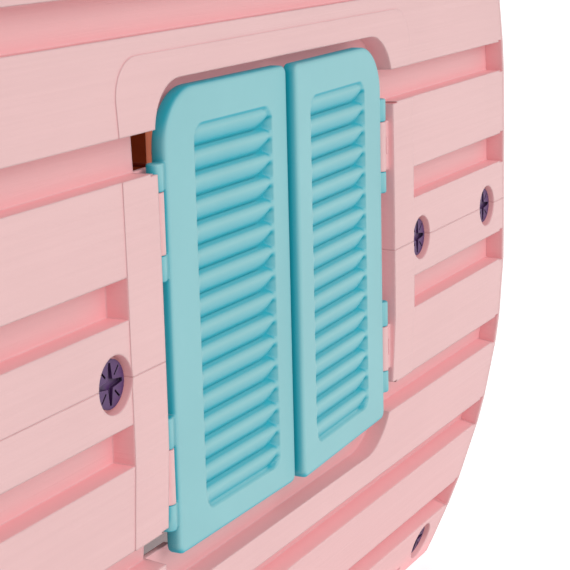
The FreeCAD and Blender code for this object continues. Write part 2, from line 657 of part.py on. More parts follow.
# ---- shutters -----------------------------------------------------------------------------------
def shutter_knuckles():
    """Moving knuckles of a left shutter, above and below each fixed one."""
    y = -HALF_Y + PIN_SET
    parts = []
    for hinge in (UPPER_HINGE, LOWER_HINGE):
        for low, high in ((hinge[0], hinge[1] - LUG_GAP / 2), (hinge[2] + LUG_GAP / 2, hinge[3])):
            z1, z2 = SEAM_Z + low, SEAM_Z + high
            parts.append(rod(BARREL_R, z2 - z1, V(-PIN_X, y, z1)))
            parts.append(box(-PIN_X, -SHUTTER_EDGE + 1, y - LUG_T / 2, y + LUG_T / 2, z1, z2))
    return parts


def left_shutter():
    """The left shutter of the front window, closed."""
    y1 = -HALF_Y + SHUTTER_SET
    y2 = y1 + SHUTTER_T
    x1, x2 = -SHUTTER_EDGE, -SHUTTER_SPLIT / 2
    outline = rect(x1, x2, SEAM_Z + SHUTTER_LOW, SEAM_Z + SHUTTER_TOP,
                   [SHUTTER_ROUND, SHUTTER_ROUND, SHUTTER_ROUND, SHUTTER_ROUND_TOP])
    fx1, fx2 = x1 + FIELD_SIDE_OUT, x2 - FIELD_SIDE_IN
    fz1, fz2 = SEAM_Z + SHUTTER_LOW + FIELD_LOW, SEAM_Z + SHUTTER_TOP - FIELD_TOP
    field = plate(rect(fx1, fx2, fz1, fz2, [FIELD_ROUND] * 4), y1 - 1, y1 + FIELD_DEPTH)
    body = plate(outline, y1, y2).cut(field)
    pitch = (fz2 - fz1) / LOUVRES
    slats = []
    for i in range(LOUVRES):
        z = fz1 + (i + 0.5) * pitch
        inner = FIELD_ROUND / 2 if i in (0, LOUVRES - 1) else 0
        ends = [V(fx1 + inner, y1 + FIELD_DEPTH, z + k * pitch * LOUVRE_WIDTH / 2) for k in (-1, 1)]
        crest = V(fx1 + inner, y1 + FIELD_DEPTH - LOUVRE_RISE, z)
        bow = Part.Wire([Part.Arc(ends[0], crest, ends[1]).toShape(), Part.makeLine(ends[1], ends[0])])
        slats.append(Part.Face(bow).extrude(V(fx2 - fx1 - 2 * inner, 0, 0)))
    solid = join(body, *slats, *shutter_knuckles())
    y = -HALF_Y + PIN_SET
    bores = [rod(PIN_R + PIN_GAP, h[3] - h[0] + 2, V(-PIN_X, y, SEAM_Z + h[0] - 1))
             for h in (UPPER_HINGE, LOWER_HINGE)]
    return solid.cut(Part.makeCompound(bores))


def swung(shutter, pin_x, degrees):
    """A front shutter turned about its pin."""
    copy = shutter.copy()
    copy.rotate(V(pin_x, -HALF_Y + PIN_SET, 0), UP, degrees)
    return copy


def shutter_pins():
    """The two pins of the left shutter of the front window."""
    y = -HALF_Y + PIN_SET
    pins = []
    for hinge in (UPPER_HINGE, LOWER_HINGE):
        z1, z2 = SEAM_Z + hinge[0] + PIN_SHORT, SEAM_Z + hinge[3] - PIN_SHORT
        pins.append(rod(PIN_R, z2 - z1, V(-PIN_X, y, z1)))
    return Part.makeCompound(pins)


# ---- door ---------------------------------------------------------------------------------------
DOOR_AXIS = (DOOR_Y - DOORWAY_HALF + LEAF_GAP / 2, -HALF_X - PORTAL_PROUD - DOOR_BARREL)


def door_barrel(z, low, high, toward):
    """One knuckle and its strap, facing -Y; toward is +1 on the leaf and -1 on the frame."""
    x, y = DOOR_AXIS
    depth = -HALF_X - PORTAL_PROUD + (LEAF_SET + 1 if toward > 0 else 1)
    x1, x2 = sorted((x, x + toward * DOOR_STRAP))
    if toward > 0:
        x1 = x + LEAF_GAP / 2 + 0.2
        strap = join(box(x1, x2, y, depth, z + low, z + high),
                     box(x, x2, y, y + DOOR_BARREL - 0.5, z + low, z + high))
    else:
        strap = box(x1, x2, y, depth, z + low, z + high)
    return join(rod(DOOR_BARREL, high - low, V(x, y, z + low)), strap)


def door_spans():
    """Heights within one hinge: lower leaf knuckle, frame knuckle, upper leaf knuckle."""
    a = DOOR_KNUCKLE
    b = a + DOOR_LUG
    return (0, a - LUG_GAP / 2), (a + LUG_GAP / 2, b - LUG_GAP / 2), (b + LUG_GAP / 2, b + a)


def door_lugs():
    spans = door_spans()
    x, y = DOOR_AXIS
    lugs = [door_barrel(z, *spans[1], -1) for z in DOOR_HINGES]
    holes = [rod(DOOR_PIN_R, spans[2][1] + 2, V(x, y, z - 1)) for z in DOOR_HINGES]
    return lugs, holes


def door_leaf():
    """The arched leaf with planks below and a two-pane window above, facing -Y."""
    front = -HALF_X - PORTAL_PROUD + LEAF_SET
    back = front + LEAF_T
    leaf = plate(arch(DOORWAY_HALF, DOORWAY_FOOT, -LEAF_GAP), front, back)
    pane_r = DOORWAY_HALF - LEAF_GAP - PANE_GAP
    glass = plate(arch(pane_r, RAIL_Z), front - 1, back + 1)
    bar = box(DOOR_Y - MULLION / 2, DOOR_Y + MULLION / 2, front - 2, back + 2, 0, RIDGE_Z)
    leaf = leaf.cut(glass.cut(bar))
    left, low, high = DOOR_Y - pane_r, DOORWAY_FOOT + STILE, RAIL_Z - STILE
    groove = plate(rect(left, DOOR_Y + pane_r, low, high, [PANEL_ROUND] * 4), front - 1, front + PANEL_GROOVE)
    width = 2 * pane_r / PLANKS
    slats = [box(left + i * width + SLAT_GAP / 2, left + (i + 1) * width - SLAT_GAP / 2, front + SLAT_SINK,
                 front + PANEL_GROOVE + 1, low + SLAT_GAP, high - SLAT_GAP) for i in range(PLANKS)]
    leaf = join(leaf.cut(groove), *slats)
    leaf = leaf.cut(box(DOOR_Y - MULLION / 2 - 1, DOOR_Y + MULLION / 2 + 1, back - 3, back + 1,
                        MULLION_GROOVE_Z - 2, MULLION_GROOVE_Z + 2))
    spans = door_spans()
    knuckles = [door_barrel(z, *span, 1) for z in DOOR_HINGES for span in (spans[0], spans[2])]
    x, y = DOOR_AXIS
    bores = [rod(DOOR_PIN_R + PIN_GAP, spans[2][1] + 2, V(x, y, z - 1)) for z in DOOR_HINGES]
    return join(leaf, *knuckles).cut(Part.makeCompound(bores))


def door_pins():
    spans = door_spans()
    x, y = DOOR_AXIS
    return Part.makeCompound([rod(DOOR_PIN_R, spans[2][1] - 2 * PIN_SHORT, V(x, y, z + PIN_SHORT))
                              for z in DOOR_HINGES])


def door_handle(outside):
    """Upright bar on two feet."""
    face = -HALF_X - PORTAL_PROUD + LEAF_SET + (0 if outside else LEAF_T)
    out = -1 if outside else 1
    x = DOOR_Y + DOORWAY_HALF - LEAF_GAP - HANDLE_IN
    y1, y2 = face, face + out * HANDLE_REACH
    bar = rod(HANDLE_R, HANDLE_H, V(x, y2 - out * HANDLE_R, HANDLE_Z))
    feet = [rod(HANDLE_R + 3, HANDLE_REACH - HANDLE_R, V(x, y1, HANDLE_Z + k), V(0, out, 0))
            for k in (HANDLE_R + 4, HANDLE_H - HANDLE_R - 4)]
    return join(bar, *feet)


# ---- roof ---------------------------------------------------------------------------------------
def on_slope(u, h):
    """Point of the front slope: u down the slope from the ridge line, h above the underside."""
    down, up = V(0, -math.cos(PITCH), -math.sin(PITCH)), V(0, -math.sin(PITCH), math.cos(PITCH))
    return V(0, 0, RIDGE_Z) + down * u + up * h


SLOPE = (eave_y() + EAVE_OVER) / math.cos(PITCH)


def roof_panel():
    """The front slope: its top steps down in shingle courses and its underside is hollow."""
    course = (SLOPE - RIDGE_FLAT) / COURSES
    top = [(RIDGE_FLAT, ROOF_SKIN)]
    for i in range(COURSES):
        top.append((RIDGE_FLAT + (i + 1) * course, ROOF_SKIN + COURSE_RISE))
        if i < COURSES - 1:
            top.append((RIDGE_FLAT + (i + 1) * course, ROOF_SKIN))
    ridge = [(-ROOF_SKIN * math.tan(PITCH), ROOF_SKIN), *top, (SLOPE, 0), (0, 0)]
    points = [on_slope(u, h) + V(-ROOF_HALF, -HALF_GAP, 0) for u, h in ridge]
    slab = face_of(points).extrude(V(2 * ROOF_HALF, 0, 0))
    bosses = []
    cuts = []
    for i in range(COURSES - 1):
        start = RIDGE_FLAT + i * course
        low, high = ROOF_RIB / 2, course - ROOF_RIB / 2
        climb = COURSE_RISE / course
        outline = [(start + low, -1), (start + high, -1), (start + high, ROOF_SKIN + high * climb - WALL),
                   (start + low, ROOF_SKIN + low * climb - WALL)]
        corners = [on_slope(u, h) + V(-ROOF_POCKET_HALF, -HALF_GAP, 0) for u, h in outline]
        cuts.append(face_of(corners).extrude(V(2 * ROOF_POCKET_HALF, 0, 0)))
    for origin, direction in roof_bolt_frames():
        bosses.append(placed(rod(BOSS_R, ROOF_BOSS, V(0, 0, 0)), origin, direction * -1))
        cuts.append(placed(rod(CUP_R, 30, V(0, 0, ROOF_BOSS - HEAD_T - 2)), origin, direction * -1))
        cuts.append(placed(rod(SHANK_R + SHANK_GAP, 60, V(0, 0, -20)), origin, direction * -1))
    return join(slab, *bosses).cut(Part.makeCompound(cuts))


def roof_bolt_frames():
    """Point on the underside and inward direction of each bolt of the front slope."""
    frames = []
    for u in ROOF_BOLT_U:
        point = on_slope(u, 0)
        rise = point.z - SEAM_Z - EAVE_RISE
        inset = profile(V_EAVE)[0] + rise * math.tan(EAVE_LEAN)
        for side in (-1, 1):
            x = side * (HALF_X - inset - RAFTER_FLANGE / 2 - WALL / 2)
            frames.append((V(x, point.y, point.z), V(0, math.sin(PITCH), -math.cos(PITCH))))
    return frames


def roof_holes():
    """Shank holes in the rafter flanges, for both slopes."""
    holes = [placed(rod(SHANK_R + SHANK_GAP, 30, V(0, 0, -10)), *frame) for frame in roof_bolt_frames()]
    return holes + [turn(h, 180) for h in holes]


ROOF_GRIP = ROOF_BOSS - HEAD_T - 2 + GAP + WALL


def roof_bolts(make):
    parts = [placed(make(ROOF_GRIP), origin - direction * (ROOF_BOSS - 2), direction)
             for origin, direction in roof_bolt_frames()]
    return Part.makeCompound(parts + [turn(p, 180) for p in parts])


def ridge_cap():
    """Angle that covers the joint of the two slopes."""
    h = ROOF_SKIN + GAP
    low = [(CAP_LEG, h), (CAP_LEG, h + CAP_T)]
    crest = [(-(h + CAP_T) * math.tan(PITCH), h + CAP_T), (-h * math.tan(PITCH), h)]
    front = [on_slope(u, k) for u, k in [low[0], low[1], crest[0]]]
    back = [V(0, -p.y, p.z) for p in reversed(front[:2])]
    points = front + back + [on_slope(*crest[1])]
    points = [p + V(-ROOF_HALF, 0, 0) for p in points]
    return face_of(points).extrude(V(2 * ROOF_HALF, 0, 0))


# ---- all pieces ---------------------------------------------------------------------------------
def fasteners(make, half, places):
    return Part.makeCompound([make(half, x, v) for x, v in places])


def pieces():
    """Every node of the playhouse and its shape."""
    nodes = {}
    for level, lower in (("lower", True), ("upper", False)):
        wall = window_wall(lower)
        nodes["front_wall_" + level] = wall
        nodes["back_wall_" + level] = turn(wall, 180)
        nodes["door_wall_" + level] = finished_end(lower, True)
        nodes["end_wall_" + level] = finished_end(lower, False)
    shutter = left_shutter()
    right = mirror_x(shutter)
    pins = shutter_pins()
    nodes["shutter_front_left"] = swung(shutter, -PIN_X, -AJAR_LEFT)
    nodes["shutter_front_right"] = swung(right, PIN_X, AJAR_RIGHT)
    nodes["shutter_back_left"] = turn(shutter, 180)
    nodes["shutter_back_right"] = turn(right, 180)
    nodes["shutter_pins_front_left"] = pins
    nodes["shutter_pins_front_right"] = mirror_x(pins)
    nodes["shutter_pins_back_left"] = turn(pins, 180)
    nodes["shutter_pins_back_right"] = turn(mirror_x(pins), 180)
    nodes["door_leaf"] = turn(door_leaf(), 90)
    nodes["door_pins"] = turn(door_pins(), 90)
    nodes["door_handle_outside"] = turn(door_handle(True), 90)
    nodes["door_handle_inside"] = turn(door_handle(False), 90)
    slope = roof_panel()
    nodes["roof_front"] = slope
    nodes["roof_back"] = turn(slope, 180)
    nodes["ridge_cap"] = ridge_cap()
    for name, make in (("bolts", wall_bolt), ("nuts", wall_nut)):
        front_seam = fasteners(make, HALF_Y, SEAM_BOLTS)
        corner = fasteners(make, HALF_Y, CORNER_BOLTS)
        nodes["seam_" + name + "_front"] = front_seam
        nodes["seam_" + name + "_back"] = turn(front_seam, 180)
        nodes["seam_" + name + "_door_wall"] = turn(fasteners(make, HALF_X, DOOR_BOLTS), 90)
        nodes["seam_" + name + "_end_wall"] = turn(fasteners(make, HALF_X, END_BOLTS), -90)
        nodes["corner_" + name + "_front"] = corner
        nodes["corner_" + name + "_back"] = turn(corner, 180)
    nodes["roof_bolts"] = roof_bolts(bolt)
    nodes["roof_nuts"] = roof_bolts(nut)
    return nodes


def main():
    os.makedirs("parts", exist_ok=True)
    for name, shape in pieces().items():
        shape.exportStep(os.path.join("parts", name + ".step"))
        b = shape.BoundBox
        print("%-26s %2d solids  %9.1f cm3  x %7.1f %7.1f  y %7.1f %7.1f  z %7.1f %7.1f" % (
            name, len(shape.Solids), shape.Volume / 1000, b.XMin, b.XMax, b.YMin, b.YMax, b.ZMin, b.ZMax))


main()
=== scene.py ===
"""Looks of the plastic playhouse: moulded shutters, shingled roof, hand bolts and finishes.

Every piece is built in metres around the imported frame.  The frame gives all places: the hinge
lines come from its joints and the sizes of the pieces from the boxes of its nodes.
"""

import json
import math

import bpy
import numpy as np
from mathutils import Matrix, Vector


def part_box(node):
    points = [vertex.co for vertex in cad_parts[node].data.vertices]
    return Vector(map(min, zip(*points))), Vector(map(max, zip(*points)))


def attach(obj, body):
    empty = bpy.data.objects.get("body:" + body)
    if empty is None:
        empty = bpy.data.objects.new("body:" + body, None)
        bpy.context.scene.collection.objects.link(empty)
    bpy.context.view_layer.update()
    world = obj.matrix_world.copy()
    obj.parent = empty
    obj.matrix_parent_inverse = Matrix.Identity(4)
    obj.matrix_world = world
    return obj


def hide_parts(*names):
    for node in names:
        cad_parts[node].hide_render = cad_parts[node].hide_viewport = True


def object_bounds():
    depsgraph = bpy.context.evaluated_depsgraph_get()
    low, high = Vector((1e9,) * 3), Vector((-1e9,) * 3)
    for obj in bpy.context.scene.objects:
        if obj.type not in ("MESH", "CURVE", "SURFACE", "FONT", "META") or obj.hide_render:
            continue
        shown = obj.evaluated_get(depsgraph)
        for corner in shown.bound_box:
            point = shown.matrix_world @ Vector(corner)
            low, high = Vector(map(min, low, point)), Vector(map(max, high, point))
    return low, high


bl_info = {
    "name": "Plastic Playhouse",
    "version": (1, 0, 0),
    "blender": (4, 5, 0),
    "location": "3D View > Sidebar > Playhouse",
    "description": "Moulded shutters, shingled roof, bolts and finishes of a plastic playhouse",
    "category": "Object",
}

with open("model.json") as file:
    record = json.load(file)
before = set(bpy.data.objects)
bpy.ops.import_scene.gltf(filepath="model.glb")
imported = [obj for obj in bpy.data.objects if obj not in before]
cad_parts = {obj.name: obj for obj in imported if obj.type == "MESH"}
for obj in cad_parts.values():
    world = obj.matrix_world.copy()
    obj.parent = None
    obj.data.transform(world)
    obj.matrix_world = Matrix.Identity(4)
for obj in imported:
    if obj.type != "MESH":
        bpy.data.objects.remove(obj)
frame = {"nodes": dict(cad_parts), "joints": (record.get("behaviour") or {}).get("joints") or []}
CAD_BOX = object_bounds()
NODES = frame["nodes"]
JOINTS = {j["name"]: j for j in frame["joints"]}
MM = 0.001

SHUTTER_SET = 4 * MM          # a closed shutter's front face behind the planks
PIN_SET = 9 * MM              # a hinge pin's axis behind the planks
PIN_TO_EDGE = 7 * MM          # from a pin's axis to the shutter's edge
KNUCKLE_REACH = 9 * MM        # from a pin's axis to where a knuckle ends in the shutter
KNUCKLE_ROUND = 1.4 * MM      # rounding of a knuckle's two ends
KNUCKLES = ((55, 74.3), (119.7, 140), (-132, -111.7), (-69.3, -46))    # mm above the seam: foot, head
CORNER_SMALL = 7 * MM         # radius of a shutter's three small corners
FIELD_ROUND = 12 * MM         # radius of the louvred field's corners
FIELD_SLOPE = 2.4 * MM        # width of the field's sloping wall
SLAT_FADE = 1.5 * MM          # a slat grows to its full height over this distance from the outline
TRAY_BORDER = 5 * MM          # flat border round the shallow tray in a shutter's back
TRAY_SLOPE, TRAY_DEPTH = 4 * MM, 2.6 * MM
BACK_ROUND = 1.5 * MM         # rounding of a shutter's back edge
SLAT_SHOWS_BEHIND = 0.25      # share of a slat's height that shows in the back
SKIN_LEAST = 1.2 * MM         # least thickness of a shutter
ROWS_PER_SLAT = 14
BARREL_POINTS = 30
BOLT_SOFT = 0.7 * MM          # width of the bevels on bolts, nuts and pins
RUBBED = 0.3                  # how much the edges of every finish are rubbed
PEEL_DEPTH = 0.06 * MM
GROOVE_DEPTH = 3 * MM         # depth of the joints between shingles
FLOOR_HALF = 40.0             # half the side of the floor, in metres
FLOOR_DROP = 0.5 * MM
VIEWPOINT = (-1.22265, -1.06035, 0.71185)
VIEW_AIM = (0.867, 0.4456, -0.2233)
VIEW_RIGHT = (0.45211, -0.89162, -0.02381)
KEY_FROM = (-0.15, -0.80, 0.56)
KEY_SPREAD = math.radians(50)


# ---- meshes from numpy arrays -------------------------------------------------------------------
def faces_of_grid(rows, cols, first=0, wrap=False):
    """Quads of a grid of rows by cols points; wrap joins the last column to the first."""
    r = np.arange(rows - 1)[:, None]
    c = np.arange(cols if wrap else cols - 1)[None, :]
    right = (c + 1) % cols
    a, b = r * cols + c, r * cols + right
    quads = np.stack([a, b, b + cols, a + cols], axis=-1)
    return quads.reshape(-1, 4) + first


def build(name, points, faces, smooth=True):
    """A mesh object at the origin from an (n, 3) array of points and a list of face arrays."""
    mesh = bpy.data.meshes.new(name)
    corners = np.concatenate([f.reshape(-1) for f in faces]).astype(np.int32)
    sizes = np.concatenate([np.full(len(f), f.shape[1]) for f in faces]).astype(np.int32)
    starts = np.concatenate([[0], np.cumsum(sizes)[:-1]]).astype(np.int32)
    mesh.vertices.add(len(points))
    mesh.vertices.foreach_set("co", np.asarray(points, np.float32).reshape(-1))
    mesh.loops.add(len(corners))
    mesh.loops.foreach_set("vertex_index", corners)
    mesh.polygons.add(len(sizes))
    mesh.polygons.foreach_set("loop_start", starts)
    mesh.polygons.foreach_set("use_smooth", np.full(len(sizes), smooth))
    mesh.update(calc_edges=True)
    mesh.validate()
    obj = bpy.data.objects.new(name, mesh)
    bpy.context.scene.collection.objects.link(obj)
    return obj


def slab(front, back):
    """Closed body between two grids of the same size: front faces out, back faces the other way
    and a band of quads runs round the rim."""
    rows, cols = front.shape[:2]
    count = rows * cols
    top = faces_of_grid(rows, cols)
    under = faces_of_grid(rows, cols, count)[:, ::-1]
    grid = np.arange(count).reshape(rows, cols)
    rim = np.concatenate([grid[0, :-1], grid[:-1, -1], grid[-1, :0:-1], grid[:0:-1, 0]])
    after = np.roll(rim, -1)
    band = np.stack([after, rim, rim + count, after + count], axis=-1)
    points = np.concatenate([front.reshape(-1, 3), back.reshape(-1, 3)])
    return points, [top, under, band]


def merge(parts):
    """One point array and face list from several."""
    points, faces, first = [], [], 0
    for p, fs in parts:
        points.append(p)
        faces += [f + first for f in fs]
        first += len(p)
    return np.concatenate(points), faces


def flip(faces):
    """The same faces, facing the other way."""
    return [f[:, ::-1] for f in faces]


def spaced(low, high, count, crowd):
    """count values from low to high, crowded towards both ends where crowd is above 0: a straight
    ramp mixed with half a cosine wave."""
    t = np.linspace(0, 1, count)
    return low + (high - low) * ((1 - crowd) * t + crowd * (1 - np.cos(math.pi * t)) / 2)


def turned(points, about, angle):
    """Points turned about an upright axis through a point."""
    c, s = math.cos(angle), math.sin(angle)
    x, y = points[..., 0] - about[0], points[..., 1] - about[1]
    out = points.copy()
    out[..., 0] = about[0] + c * x - s * y
    out[..., 1] = about[1] + s * x + c * y
    return out


# ---- settings -----------------------------------------------------------------------------------
def colour(name, what, value):
    """A colour setting."""
    return bpy.props.FloatVectorProperty(name=name, description=what, default=value, size=3,
                                         min=0, max=1, subtype="COLOR")


def length(name, what, value):
    """A length setting, in metres."""
    return bpy.props.FloatProperty(name=name, description=what, default=value, unit="LENGTH")


class PlayhouseFinish(bpy.types.PropertyGroup):
    """Colours of the moulded plastic."""
    wall: colour("Wall", "Colour of the wall panels", (0.555, 0.352, 0.349))
    shutter: colour("Shutter", "Colour of the shutters", (0.175, 0.385, 0.408))
    door: colour("Door", "Colour of the door leaf", (0.60, 0.105, 0.012))
    roof: colour("Roof", "Colour of the roof", (0.12, 0.05, 0.19))
    bolt: colour("Bolts", "Colour of bolts, nuts and handles", (0.06, 0.018, 0.09))
    edge: length("Edge rounding", "Radius of the softened edges of moulded panels", 2.6 * MM)


class PlayhouseShutters(bpy.types.PropertyGroup):
    """Shape of the louvred shutters."""
    thickness: length("Thickness", "Thickness of a shutter", 12 * MM)
    louvres: bpy.props.IntProperty(name="Louvres", description="Slats in one shutter", default=16)
    border_hinge: length("Hinge border", "Border on the hinge side", 40 * MM)
    border_free: length("Free border", "Border on the free side", 27 * MM)
    border_low: length("Low border", "Border at the foot", 22 * MM)
    border_top: length("Top border", "Border at the top", 28 * MM)
    corner: length("Corner", "Radius of the large outer top corner", 43 * MM)
    rounding: length("Rounding", "Radius of the rounded edge", 3.5 * MM)
    depth: length("Field depth", "Depth of the louvred field", 8 * MM)
    rise: length("Louvre rise", "Height of a slat above the floor of the field", 6.8 * MM)
    skew: bpy.props.FloatProperty(name="Skew", description="How far a slat's crest lies above its middle",
                                  default=0.38, min=0, max=0.6)
    tip: length("Tip", "Length over which a slat tapers to its pointed end", 26 * MM)
    butt: length("Butt", "Length over which a slat ends at its blunt end", 1.5 * MM)


class PlayhouseRoof(bpy.types.PropertyGroup):
    """Shape of the shingled slopes."""
    tile: length("Tile width", "Width of one shingle", 88 * MM)


class PlayhouseStage(bpy.types.PropertyGroup):
    """Camera, floor and lights."""
    lens: bpy.props.FloatProperty(name="Lens", description="Focal length in millimetres",
                                  default=109.5, min=10)
    sun: bpy.props.FloatProperty(name="Sun", description="Strength of the soft key light", default=2.05)
    lift: bpy.props.FloatProperty(name="Floor lift", description="Light that the pale floor gives off",
                                  default=0.2)
    sky: bpy.props.FloatProperty(name="Sky", description="Strength of the ambient light", default=0.72)


# ---- shader node groups -------------------------------------------------------------------------
def new_group(name, inputs, outputs):
    """Empty shader group with typed sockets, as its tree, input node and output node."""
    tree = bpy.data.node_groups.new(name, "ShaderNodeTree")
    for label, kind, value in inputs:
        socket = tree.interface.new_socket(label, in_out="INPUT", socket_type=kind)
        if value is not None:
            socket.default_value = value
    for label, kind in outputs:
        tree.interface.new_socket(label, in_out="OUTPUT", socket_type=kind)
    return tree, tree.nodes.new("NodeGroupInput"), tree.nodes.new("NodeGroupOutput")


def node(tree, kind, **settings):
    """A node whose plain settings and numbered or named input values are given as keywords."""
    made = tree.nodes.new("ShaderNode" + kind)
    for key, value in settings.items():
        if key.startswith("in_"):
            name = key[3:].replace("_", " ")
            made.inputs[int(name) if name.isdigit() else name].default_value = value
        else:
            setattr(made, key, value)
    return made


def grain_group():
    """Wood grain pressed into plastic: two stretched noises, one fine and one broad, added; the
    streak mask is the fine one with its middle values spread over 0 to 1."""
    tree, gin, gout = new_group("pressed_grain", [
        ("Vector", "NodeSocketVector", None), ("Stretch", "NodeSocketVector", (3.0, 3.0, 150.0)),
        ("Waviness", "NodeSocketFloat", 0.6)],
        [("Height", "NodeSocketFloat"), ("Streak", "NodeSocketFloat")])
    link = tree.links.new
    stretch = node(tree, "VectorMath", operation="MULTIPLY")
    link(gin.outputs["Vector"], stretch.inputs[0])
    link(gin.outputs["Stretch"], stretch.inputs[1])
    fine = node(tree, "TexNoise", in_Scale=1.0, in_Detail=5.0, in_Roughness=0.62)
    broad = node(tree, "TexNoise", in_Scale=0.24, in_Detail=2.0, in_Roughness=0.5)
    for noise in (fine, broad):
        link(stretch.outputs[0], noise.inputs["Vector"])
        link(gin.outputs["Waviness"], noise.inputs["Distortion"])
    both = node(tree, "Math", operation="MULTIPLY_ADD", in_1=0.6)
    link(broad.outputs["Fac"], both.inputs[0])
    link(fine.outputs["Fac"], both.inputs[2])
    link(both.outputs[0], gout.inputs["Height"])
    spread = node(tree, "MapRange", in_1=0.36, in_2=0.66)
    link(fine.outputs["Fac"], spread.inputs["Value"])
    link(spread.outputs["Result"], gout.inputs["Streak"])
    return tree


def skin_group():
    """Moulded skin: a fine orange-peel height and broad, faint patches of colour."""
    tree, gin, gout = new_group("moulded_skin", [
        ("Vector", "NodeSocketVector", None), ("Peel", "NodeSocketFloat", 900.0),
        ("Patch", "NodeSocketFloat", 6.0)], [("Height", "NodeSocketFloat"), ("Patches", "NodeSocketFloat")])
    link = tree.links.new
    for scale, detail, out in (("Peel", 2.0, "Height"), ("Patch", 4.0, "Patches")):
        noise = node(tree, "TexNoise", in_Detail=detail, in_Roughness=0.55)
        link(gin.outputs["Vector"], noise.inputs["Vector"])
        link(gin.outputs[scale], noise.inputs["Scale"])
        link(noise.outputs["Fac"], gout.inputs[out])
    return tree


def wear_group():
    """Rubbed edges: how far the softened normal leans from the true one, broken up by a noise."""
    tree, gin, gout = new_group("rubbed_edges", [
        ("Vector", "NodeSocketVector", None), ("Soft Normal", "NodeSocketVector", None),
        ("Amount", "NodeSocketFloat", 1.0)], [("Edge", "NodeSocketFloat")])
    link = tree.links.new
    true = node(tree, "NewGeometry")
    dot = node(tree, "VectorMath", operation="DOT_PRODUCT")
    link(gin.outputs["Soft Normal"], dot.inputs[0])
    link(true.outputs["Normal"], dot.inputs[1])
    lean = node(tree, "MapRange", in_1=0.999, in_2=0.86)
    link(dot.outputs["Value"], lean.inputs["Value"])
    noise = node(tree, "TexNoise", in_Scale=38.0, in_Detail=4.0)
    link(gin.outputs["Vector"], noise.inputs["Vector"])
    rough = node(tree, "MapRange", in_1=0.3, in_2=0.7, in_3=0.25)
    link(noise.outputs["Fac"], rough.inputs["Value"])
    edge = node(tree, "Math", operation="MULTIPLY")
    link(lean.outputs["Result"], edge.inputs[0])
    link(rough.outputs["Result"], edge.inputs[1])
    scaled = node(tree, "Math", operation="MULTIPLY")
    link(edge.outputs[0], scaled.inputs[0])
    link(gin.outputs["Amount"], scaled.inputs[1])
    link(scaled.outputs[0], gout.inputs["Edge"])
    return tree


def painted_shade_group():
    """Mask of painted shade and painted light: full in hollows, given as an occlusion value that
    is full at Closed, and on faces that look down, by the amount asked for."""
    tree, gin, gout = new_group("deep_colour", [
        ("Open", "NodeSocketFloat", 1.0), ("Closed", "NodeSocketFloat", 0.25),
        ("Down", "NodeSocketFloat", 0.5)], [("Mask", "NodeSocketFloat")])
    link = tree.links.new
    hollow = node(tree, "MapRange", in_1=0.93)
    link(gin.outputs["Closed"], hollow.inputs["From Max"])
    link(gin.outputs["Open"], hollow.inputs["Value"])
    face = node(tree, "NewGeometry")
    split = node(tree, "SeparateXYZ")
    link(face.outputs["Normal"], split.inputs[0])
    down = node(tree, "MapRange", in_1=0.0, in_2=-0.5)
    link(split.outputs["Z"], down.inputs["Value"])
    scaled = node(tree, "Math", operation="MULTIPLY")
    link(down.outputs["Result"], scaled.inputs[0])
    link(gin.outputs["Down"], scaled.inputs[1])
    both = node(tree, "Math", operation="MAXIMUM")
    link(hollow.outputs["Result"], both.inputs[0])
    link(scaled.outputs[0], both.inputs[1])
    link(both.outputs[0], gout.inputs["Mask"])
    return tree


def shingle_group():
    """Upright joints between shingles, staggered by half a shingle in every other course: a mask
    that is 1 in the joint.  The course is counted from the height of the place."""
    tree, gin, gout = new_group("shingle_joints", [
        ("Vector", "NodeSocketVector", None), ("Width", "NodeSocketFloat", 0.088),
        ("Course", "NodeSocketFloat", 0.0575), ("Start", "NodeSocketFloat", 1.05)],
        [("Joint", "NodeSocketFloat")])
    link = tree.links.new
    split = node(tree, "SeparateXYZ")
    link(gin.outputs["Vector"], split.inputs[0])
    drop = node(tree, "Math", operation="SUBTRACT")
    link(gin.outputs["Start"], drop.inputs[0])
    link(split.outputs["Z"], drop.inputs[1])
    row = node(tree, "Math", operation="DIVIDE")
    link(drop.outputs[0], row.inputs[0])
    link(gin.outputs["Course"], row.inputs[1])
    whole = node(tree, "Math", operation="FLOOR")
    link(row.outputs[0], whole.inputs[0])
    shift = node(tree, "Math", operation="MULTIPLY", in_1=0.5)
    link(whole.outputs[0], shift.inputs[0])
    along = node(tree, "Math", operation="DIVIDE")
    link(split.outputs["X"], along.inputs[0])
    link(gin.outputs["Width"], along.inputs[1])
    place = node(tree, "Math", operation="ADD")
    link(along.outputs[0], place.inputs[0])
    link(shift.outputs[0], place.inputs[1])
    saw = node(tree, "Math", operation="FRACT")
    link(place.outputs[0], saw.inputs[0])
    middle = node(tree, "Math", operation="SUBTRACT", in_1=0.5)
    link(saw.outputs[0], middle.inputs[0])
    apart = node(tree, "Math", operation="ABSOLUTE")
    link(middle.outputs[0], apart.inputs[0])
    joint = node(tree, "MapRange", in_1=0.03, in_2=0.012)
    link(apart.outputs[0], joint.inputs["Value"])
    link(joint.outputs["Result"], gout.inputs["Joint"])
    return tree


GROUPS = {}


def group(tree, name, maker):
    """A group node in a material's tree; the group is made when it is first asked for."""
    if name not in GROUPS:
        GROUPS[name] = maker()
    made = tree.nodes.new("ShaderNodeGroup")
    made.node_tree = GROUPS[name]
    return made


def tinted(rgb, factor):
    """A colour times a factor, with full alpha."""
    return tuple(min(1.0, c * factor) for c in rgb) + (1.0,)


